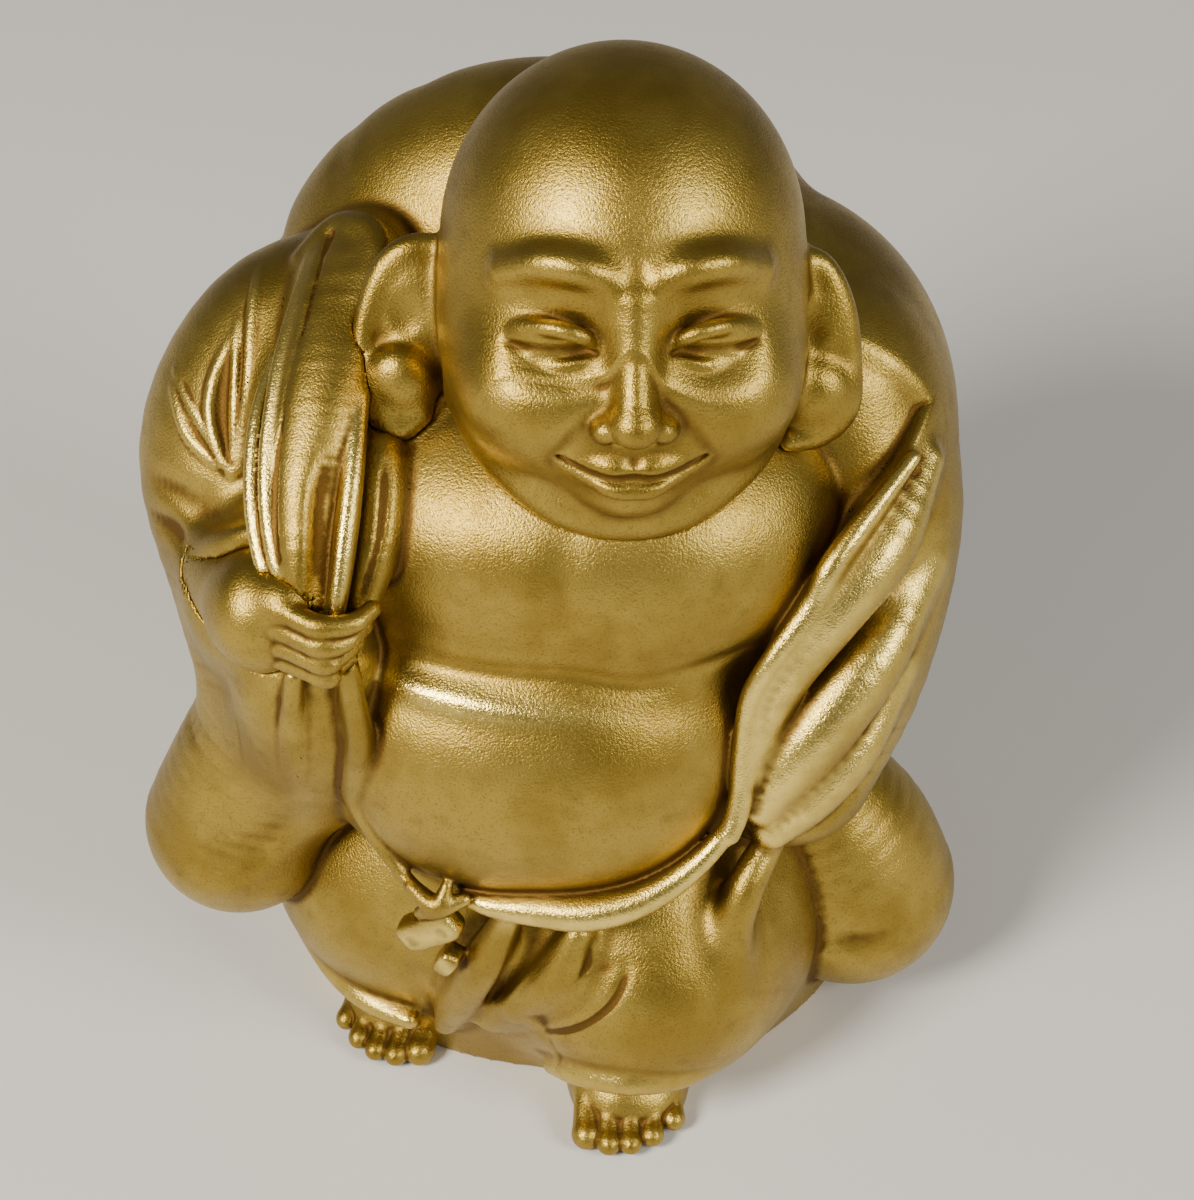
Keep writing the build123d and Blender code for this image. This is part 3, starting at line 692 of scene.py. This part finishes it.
BROW = [(1.4, -9.5, 2.6, 0.5), (2.8, -9.5, 3.2, 0.75), (4.6, -8.8, 3.1, 0.75), (6.4, -7.3, 2.0, 0.45)]
UPPER_LID = [
    (1.7, -9.6, -1.2, 0.3), (2.7, -10.25, -0.15, 0.42), (4.0, -10.0, 0.15, 0.45), (5.3, -9.1, -0.25, 0.4),
    (6.4, -7.9, -1.1, 0.25),
]
LOWER_LID = [
    (1.8, -9.6, -1.35, 0.2), (2.8, -10.05, -1.75, 0.3), (4.0, -9.85, -1.95, 0.32),
    (5.3, -9.0, -1.75, 0.28), (6.2, -8.0, -1.3, 0.2),
]
LID_GAP = [
    (1.9, -9.9, -1.25, 0.5), (2.8, -9.9, -1.15), (4.0, -10.05, -1.1), (5.2, -9.8, -1.1),
    (6.2, -8.9, -1.15, 0.3),
]
EYE_BAG = [(2.2, -10.0, -2.6, 0.2), (3.4, -10.1, -3.0), (4.8, -9.4, -2.9, 0.8), (6.0, -8.3, -2.3, 0.1)]
SMILE_FOLD = [(2.1, -11.7, -3.9, 0.5), (3.3, -11.4, -5.3), (4.1, -10.9, -6.8), (4.0, -10.3, -8.2, 0.2)]
MOUTH = [
    (-3.6, -10.7, -6.6, 0.9), (-2.4, -11.6, -7.15), (-0.9, -12.1, -7.35), (0, -12.15, -7.25),
    (0.9, -12.1, -7.35), (2.4, -11.6, -7.15), (3.6, -10.7, -6.6, 0.9),
]
UPPER_LIP = [
    (-2.8, -11.0, -6.75, 0.22), (-1.2, -11.75, -6.75, 0.5), (0, -11.8, -6.85, 0.42),
    (1.2, -11.75, -6.75, 0.5), (2.8, -11.0, -6.75, 0.22),
]
LOWER_LIP = [
    (-2.4, -11.0, -7.6, 0.25), (-1.1, -11.6, -8.0, 0.6), (0, -11.7, -8.1, 0.62), (1.1, -11.6, -8.0, 0.6),
    (2.4, -11.0, -7.6, 0.25),
]
JAW_ROLL = [
    (-8.0, -3.6, -7.4, 0.9), (-6.2, -6.2, -9.6, 1.2), (-3.2, -8.1, -11.1, 1.3), (0, -8.6, -11.6, 1.3),
    (3.2, -8.1, -11.1, 1.3), (6.2, -6.2, -9.6, 1.2), (8.0, -3.6, -7.4, 0.9),
]
CHIN_FOLD = [
    (-5.2, -8.6, -8.6, 0.1), (-2.8, -9.9, -10.2, 0.8), (0, -10.2, -10.9), (2.8, -9.9, -10.2, 0.8),
    (5.2, -8.6, -8.6, 0.1),
]
RIGHT_EAR_RIM = [
    (-4.8, -3.6, 51.2, 0.5), (-5.2, -3.6, 52.6, 0.6), (-6.6, -3.8, 52.9, 0.65), (-8.0, -4.4, 51.9, 0.65),
    (-8.9, -5.4, 50.0, 0.6), (-9.2, -6.4, 47.8, 0.65), (-8.8, -7.5, 45.6, 0.8), (-7.4, -8.1, 44.4, 0.9),
    (-6.2, -7.8, 44.8, 0.6),
]
LEFT_EAR_RIM = [
    (12.7, -3.6, 50.2, 0.5), (13.2, -2.9, 51.8, 0.6), (14.6, -2.7, 51.9, 0.65), (15.8, -3.2, 49.6, 0.6),
    (16.4, -4.2, 46.8, 0.6), (16.2, -5.2, 44.6, 0.8), (14.8, -6.0, 43.3, 0.8), (13.4, -6.6, 43.2, 0.6),
]


def sculpt_head(grid):
    head = Form(grid)
    head.join(head_ball((0, 0, 0), (9.5, 9.9, 10.2)))
    head.join(head_ball((0, -3.8, -4.9), (9.2, 7.8, 7.0)), 3.5)
    head.join(head_tube(JAW_ROLL), 1.8)
    for side in (-1, 1):
        head.join(head_ball((side * 4.9, -7.9, -4.6), (3.3, 3.1, 3.0)), 2.4)
        head.cut(head_ball((side * 4.0, -11.4, -0.6), (2.7, 2.0, 1.5)), 1.6)
        head.join(head_ball((side * 4.0, -8.5, -0.9), (2.3, 1.55, 1.5)), 0.3)
    for points in both_sides(BROW):
        head.join(head_tube(points), 1.4)
    head.join(head_ball((0, -9.0, -9.0), (2.6, 2.3, 1.9)), 1.4)
    head.join(head_tube([(0, -9.9, 1.4, 0.7), (0, -10.5, -0.8, 0.75), (0, -11.7, -3.0, 0.95),
                         (0, -12.1, -3.9, 1.1)]), 1.1)
    head.join(head_ball((0, -12.2, -4.2), (1.3, 1.25, 1.05)), 0.6)
    for side in (-1, 1):
        head.join(head_ball((side * 1.45, -11.5, -4.6), (0.85, 1.1, 0.75)), 0.45)
        head.cut(head_ball((side * 0.8, -12.3, -5.2), (0.4, 0.55, 0.35)), 0.25)
    for points in both_sides(UPPER_LID) + both_sides(LOWER_LID):
        head.join(head_tube(points), 0.3)
    head.join(head_ball((0, -10.4, -7.0), (3.2, 1.6, 1.5)), 1.2)
    head.join(head_tube(UPPER_LIP), 0.4)
    head.join(head_tube(LOWER_LIP), 0.4)
    for path, depth, width in ((LID_GAP, 0.35, 0.28), (EYE_BAG, 0.14, 0.6), (SMILE_FOLD, 0.14, 0.5)):
        for points in both_sides(path):
            head.crease(head_line(points), depth, width)
    head.crease(head_line(MOUTH), 0.45, 0.24)
    head.crease(head_line([(0, -12.2, -5.6, 0.5), (0, -12.1, -6.4)]), 0.14, 0.35)
    head.crease(head_line([(-1.8, -11.2, -9.0, 0.2), (0, -11.6, -9.2), (1.8, -11.2, -9.0, 0.2)]), 0.2, 0.5)
    head.crease(head_line(CHIN_FOLD), 0.16, 0.5)
    sculpt_ear(head, RIGHT_EAR_RIM, (-6.8, -5.3, 48.7), (-7.2, -7.2, 46.4))
    sculpt_ear(head, LEFT_EAR_RIM, (14.2, -4.0, 47.8), (14.6, -5.4, 45.2))
    return head


def sculpt_ear(head, rim, flap, lobe):
    """A long flat ear with a rolled rim, a hollow inside it and a full lobe."""
    x, y, z = flap
    head.join(Ball(flap, (2.5, 1.1, 4.6), (-16, 0, 0)), 0.8)
    head.cut(Ball((x, y - 1.2, z + 2.0), (1.0, 0.7, 1.4)), 0.6)
    head.join(Tube(rim), 0.6)
    head.join(Ball(lobe, (1.9, 1.4, 2.3)), 0.9)


def sculpt_hand(grid):
    """A plump fist that grips the gathered neck, its fingers wrapped round the front."""
    hand = Form(grid)
    hand.join(Ball((-14.2, -14.4, 36.5), (2.9, 3.3, 3.5)))
    hand.join(Tube([(-15.0, -13.4, 36.0, 2.7), (-16.8, -9.6, 34.8, 2.8)]), 1.0)
    hand.join(Ball((-12.6, -15.8, 38.6), (1.6, 1.7, 1.5)), 0.8)
    for i in range(4):
        z = 38.7 - 1.18 * i
        out = 0.2 * (1.5 - abs(i - 1.5))
        reach = 0.5 * i
        hand.join(Tube([(-13.6, -15.6, z, 0.7), (-12.0, -17.1 - out, z, 0.66),
                        (-10.3, -17.8 - out, z - 0.1, 0.62), (-8.7 - reach, -17.4 - out, z - 0.1, 0.55),
                        (-7.9 - reach, -16.4, z, 0.5)]), 0.3)
        hand.join(Ball((-10.5, -17.9 - out, z - 0.1), (0.8, 0.5, 0.62)), 0.25)
        hand.join(Ball((-12.5, -16.8 - out, z + 0.05), (0.9, 0.7, 0.66)), 0.3)
    return hand


def sculpt_foot(grid, name):
    """A bare foot from under the hem: a broad instep and five toes."""
    x, toes_y, turn = FEET[name]
    big = 1 if name == "right_foot" else -1
    axes = Euler((0, 0, radians(turn))).to_matrix()

    def at(across, back, up, *rest):
        return (*(Vector((x, toes_y, 0)) + axes @ Vector((across, back, up))), *rest)

    foot = Form(grid)
    foot.join(Ball(at(0, 7.2, 0.8), (3.8, 5.6, 3.0), (0, 0, turn), 2.4))
    foot.join(Ball(at(0.6 * big, 7.8, 1.8), (2.9, 5.4, 2.9), (0, 0, turn)), 1.2)
    for i in range(5):
        share = (i - 2) / 2
        size = 0.66 + 0.2 * max(share * big, 0) ** 2
        across = 2.6 * share
        back = 0.75 + 1.2 * share**2 - 0.5 * share * big
        toe = [
            at(across, back, 0.8, size),
            at(0.96 * across, back + 1.4, 1.3, size),
            at(0.88 * across, back + 3.2, 1.9, size + 0.1),
        ]
        foot.join(Tube(toe), 0.25)
        foot.join(Ball(at(across, back - 0.1, 0.85), (size, size + 0.1, size), (0, 0, turn)), 0.2)
    return foot


FEET = {"left_foot": (5.6, -21.4, 6.0), "right_foot": (-10.7, -15.4, -14.0)}


def front_of(tube, aside=0.0):
    """A line along the front of a tube."""
    return Line([(x - aside, y - radius, z, 1) for x, y, z, radius in tube])


# Strokes where the plating is burnished, less rough and painted brighter as a painted highlight, with the
# width of each stroke.
POLISHED_AND_HIGHLIGHTED = [(Line(points), 0.22) for points in ELBOW_RIDGES]
POLISHED_AND_HIGHLIGHTED += [(front_of(tube, 0.4), 1.1) for tube, _ in LEFT_FOLDS[:3]]
POLISHED_AND_HIGHLIGHTED += [(front_of(tube), 0.5) for tube, _ in LEFT_FOLDS[3:] + NECK_PLEATS[4:7]]
POLISHED_AND_HIGHLIGHTED += [(front_of(WAIST_RIM), 1.0)]
POLISHED_AND_HIGHLIGHTED += [(Line([(-7.6, -18.9, 15.0), (-4.4, -18.9, 16.9)]), 0.8), (Line([(-5.5, -18.9, 14.0),
             (-4.6, -18.9, 12.9)]), 0.5)]
POLISHED_AND_HIGHLIGHTED += [(Line(SKIRT_FOLDS[2][0]), 1.0), (Line(SKIRT_FOLDS[3][0]), 0.9), (Line(BELLY_ROLL), 0.8)]


# ---- assembly ------------------------------------------------------------------------------
def smooth_union(fields, blend):
    whole = fields[0].d.copy()
    for form in fields[1:]:
        whole = soft_min(whole, form.d, blend)
    return whole


body_low, body_high = figure_box("skirt")
for node in ("robe", "torso", "sack", "left_sleeve", "right_sleeve", "sack_neck", "sash"):
    low, high = figure_box(node)
    body_low, body_high = np.minimum(body_low, low), np.maximum(body_high, high)
body_grid = Grid(body_low - (1.5, 3.5, 1.5), body_high + (1.5, 1.5, 3.0), BODY_STEP)
head_low, head_high = figure_box("head")
head_low[2] = EAR_LOBES_ABOVE
head_grid = Grid(head_low - (2.5, 3.5, 1.0), head_high + (2.0, 1.0, 1.0), FINE_STEP)

SCULPTORS = {
    "skirt": sculpt_skirt,
    "torso": sculpt_torso,
    "robe": sculpt_robe,
    "left_sleeve": sculpt_left_sleeve,
    "right_sleeve": sculpt_right_sleeve,
    "sack": sculpt_sack,
    "sack_neck": sculpt_sack_neck,
    "sash": sculpt_sash,
}
fields = [sculpt(body_grid) for sculpt in SCULPTORS.values()]
whole = smooth_union(fields, BODY_BLEND)
floor = body_grid.axes[2][None, None, :]
whole = np.maximum(whole, -floor)
whole = np.maximum(whole, -sculpt_head(body_grid).d)
whole = np.maximum(whole, -sculpt_hand(body_grid).d)
pieces = make_pieces(SCULPTORS, fields, whole, body_grid, POLISHED_AND_HIGHLIGHTED)

head_form = sculpt_head(head_grid)
pieces |= make_pieces(["head"], [head_form], head_form.d, head_grid, [], HEAD_CREASE_SHADE)
low, high = figure_box("right_hand")
hand_grid = Grid(low - 1, high + 1, FINE_STEP)
hand_form = sculpt_hand(hand_grid)
pieces |= make_pieces(["right_hand"], [hand_form], hand_form.d, hand_grid, [], HAND_CREASE_SHADE)
for name in FEET:
    low, high = figure_box(name)
    grid = Grid(low - 1, high + 1, FINE_STEP)
    form = sculpt_foot(grid, name)
    solid = np.maximum(form.d, -grid.axes[2][None, None, :])
    pieces |= make_pieces([name], [form], solid, grid, [])


# ---- finish --------------------------------------------------------------------------------
class Nodes:
    """A short way to write a material's node tree."""

    def __init__(self, name):
        self.material = bpy.data.materials.new(name)
        self.material.use_nodes = True
        self.tree = self.material.node_tree
        self.shader = self.tree.nodes["Principled BSDF"]
        self.place = self.tree.nodes.new("ShaderNodeTexCoord").outputs["Object"]

    def set(self, socket, value):
        if isinstance(value, bpy.types.NodeSocket):
            self.tree.links.new(value, socket)
        else:
            socket.default_value = value

    def noise(self, scale, detail=2.0, roughness=0.5, stretch=(1, 1, 1), turn=(0, 0, 0)):
        mapping = self.tree.nodes.new("ShaderNodeMapping")
        self.set(mapping.inputs["Vector"], self.place)
        mapping.inputs["Rotation"].default_value = [radians(a) for a in turn]
        mapping.inputs["Scale"].default_value = [scale / MM * s for s in stretch]
        node = self.tree.nodes.new("ShaderNodeTexNoise")
        self.set(node.inputs["Vector"], mapping.outputs["Vector"])
        node.inputs["Scale"].default_value = 1.0
        node.inputs["Detail"].default_value = detail
        node.inputs["Roughness"].default_value = roughness
        return node.outputs["Fac"]

    def attribute(self, name):
        node = self.tree.nodes.new("ShaderNodeAttribute")
        node.attribute_name = name
        return node.outputs["Fac"]

    def scaled(self, value, low, high, out_low=0.0, out_high=1.0):
        node = self.tree.nodes.new("ShaderNodeMapRange")
        self.set(node.inputs["Value"], value)
        for key, number in (("From Min", low), ("From Max", high), ("To Min", out_low), ("To Max", out_high)):
            node.inputs[key].default_value = number
        return node.outputs["Result"]

    def math(self, kind, a, b):
        node = self.tree.nodes.new("ShaderNodeMath")
        node.operation = kind
        node.use_clamp = True
        self.set(node.inputs[0], a)
        self.set(node.inputs[1], b)
        return node.outputs[0]

    def blend(self, share, a, b):
        node = self.tree.nodes.new("ShaderNodeMix")
        node.data_type = "RGBA"
        self.set(node.inputs["Factor"], share)
        self.set(node.inputs["A"], a)
        self.set(node.inputs["B"], b)
        return node.outputs["Result"]

    def bump(self, height, distance, strength, below=None):
        node = self.tree.nodes.new("ShaderNodeBump")
        node.inputs["Strength"].default_value = strength
        node.inputs["Distance"].default_value = distance * MM
        self.set(node.inputs["Height"], height)
        if below is not None:
            self.set(node.inputs["Normal"], below)
        return node.outputs["Normal"]


DEEP_GOLD, PALE_GOLD = (0.32, 0.215, 0.036, 1), (0.44, 0.31, 0.062, 1)
# The bright burnished gold is brighter than the plating's own colour: a painted highlight on the burnished
# strokes.
# The dark brown is painted shade in the hollows, and also the colour of random dark stains.
DARK_GRAIN, BURNISHED_HIGHLIGHT_GOLD, CREASE_SHADE_AND_STAIN_BROWN = (0.21, 0.125, 0.020, 1), (0.96, 0.74, 0.20, 1), (0.14, 0.075, 0.016, 1)


def gold_material(name, sculpted=True):
    """Matte gold plate: fine satin grain, burnished ridges brightened as a painted highlight, painted shade
    in the hollows, random dark stains.
    """
    m = Nodes(name)
    cloud = m.noise(0.16, 3, 0.6)
    stain = m.noise(0.5, 4, 0.65)
    grain = m.noise(7.5, 2, 0.6)
    scratch = m.noise(1.0, 2, 0.6, (0.12, 5.0, 1.2), (20, 0, 38))
    if sculpted:
        hollow, polish_and_highlight = m.attribute("hollow"), m.attribute("polish_and_highlight")
    else:
        hollow, polish_and_highlight = 0.0, 0.0
    # Dark brown mix: painted shade in the hollows from the hollow mark, plus random dark stains from the
    # stain noise.
    crease_shade_and_stain = m.math("MULTIPLY", hollow, m.scaled(stain, 0.3, 0.6, 0.45, 0.85))
    crease_shade_and_stain = m.math("MAXIMUM", crease_shade_and_stain, m.scaled(stain, 0.56, 0.76, 0.0, 0.35))
    # Burnished strokes: less rough, and their base colour brightened as a painted highlight.
    burnish_and_highlight = m.math("MULTIPLY", polish_and_highlight, m.scaled(stain, 0.35, 0.6, 0.55, 1.0))
    tint = m.blend(m.scaled(cloud, 0.4, 0.6), DEEP_GOLD, PALE_GOLD)
    tint = m.blend(m.scaled(grain, 0.54, 0.7, 0.0, 0.6), tint, DARK_GRAIN)
    tint = m.blend(burnish_and_highlight, tint, BURNISHED_HIGHLIGHT_GOLD)
    m.set(m.shader.inputs["Base Color"], m.blend(crease_shade_and_stain, tint, CREASE_SHADE_AND_STAIN_BROWN))
    m.shader.inputs["Metallic"].default_value = 1.0
    rough = m.scaled(grain, 0.25, 0.75, 0.3, 0.44)
    rough = m.math("ADD", rough, m.math("MULTIPLY", crease_shade_and_stain, 0.25))
    m.set(m.shader.inputs["Roughness"], m.math("SUBTRACT", rough, m.math("MULTIPLY", burnish_and_highlight, 0.18)))
    satin = m.bump(grain, 0.05, 0.75)
    m.set(m.shader.inputs["Normal"], m.bump(m.scaled(scratch, 0.62, 0.75), 0.02, 0.2, satin))
    return m.material


gold = gold_material("gold_plate")
for plate_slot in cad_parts["base_plate"].material_slots:
    plate_slot.material = gold_material("gold_plate_below", sculpted=False)
for node, piece in pieces.items():
    piece.data.materials.append(gold)
    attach(piece, "root")
    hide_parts(node)


# ---- stage, light and camera ---------------------------------------------------------------
TARGET = (2.4, -2.0, 27.0)
VIEW_AZIMUTH, VIEW_ELEVATION, VIEW_ROLL = 6.0, 42.0, -1.5
VIEW_DISTANCE = 175.0
LENS, SENSOR_WIDTH = 90.0, 35.82
LIGHTS_AIM_AT = (0, 0, 25)
PAPER, ROOM_LIGHT, ROOM_STRENGTH = (0.72, 0.71, 0.68, 1), (0.64, 0.63, 0.60, 1), 0.3


def view_axes(azimuth, elevation):
    """Directions to the right, upwards and towards the object for somebody who looks at it."""
    a, e = radians(azimuth), radians(elevation)
    forward = Vector((-sin(a) * cos(e), cos(a) * cos(e), -sin(e)))
    right = Vector((cos(a), sin(a), 0))
    return right, right.cross(forward), forward


def in_frame(point):
    return Vector((np.array(point) + SHIFT) * MM)


def add_camera():
    right, up, forward = view_axes(VIEW_AZIMUTH, VIEW_ELEVATION)
    data = bpy.data.cameras.new("camera")
    data.lens, data.sensor_width = LENS, SENSOR_WIDTH
    camera = bpy.data.objects.new("camera", data)
    camera.location = in_frame(TARGET) - forward * VIEW_DISTANCE * MM
    camera.rotation_mode = "QUATERNION"
    roll = radians(VIEW_ROLL)
    turned = right * cos(roll) + up * sin(roll)
    camera.rotation_quaternion = turn_to(turned, turned.cross(forward), -forward)
    bpy.context.collection.objects.link(camera)
    bpy.context.scene.camera = camera


def turn_to(x_axis, y_axis, z_axis):
    """The rotation that brings an object's own axes to the given ones."""
    return Matrix((x_axis, y_axis, z_axis)).transposed().to_quaternion()


def add_light(name, azimuth, elevation, distance, size, power, colour):
    right, up, forward = view_axes(azimuth, elevation)
    data = bpy.data.lights.new(name, "AREA")
    data.shape, data.size, data.energy, data.color = "DISK", size, power, colour
    light = bpy.data.objects.new(name, data)
    light.location = in_frame(LIGHTS_AIM_AT) - forward * distance
    light.rotation_mode = "QUATERNION"
    light.rotation_quaternion = turn_to(right, up, -forward)
    bpy.context.collection.objects.link(light)


def add_floor():
    bpy.ops.mesh.primitive_plane_add(size=4)
    floor = bpy.context.object
    floor.name = "floor"
    material = bpy.data.materials.new("paper")
    material.use_nodes = True
    shader = material.node_tree.nodes["Principled BSDF"]
    shader.inputs["Base Color"].default_value = PAPER
    shader.inputs["Roughness"].default_value = 0.9
    floor.data.materials.append(material)


add_floor()
add_light("key", azimuth=-42, elevation=38, distance=0.45, size=0.16, power=2.8, colour=(1, 0.94, 0.84))
add_light("fill", azimuth=60, elevation=30, distance=0.55, size=0.22, power=2.0, colour=(1, 0.97, 0.92))
world = bpy.data.worlds.new("world")
world.use_nodes = True
background = world.node_tree.nodes["Background"]
background.inputs["Color"].default_value = ROOM_LIGHT
background.inputs["Strength"].default_value = ROOM_STRENGTH
bpy.context.scene.world = world
add_camera()
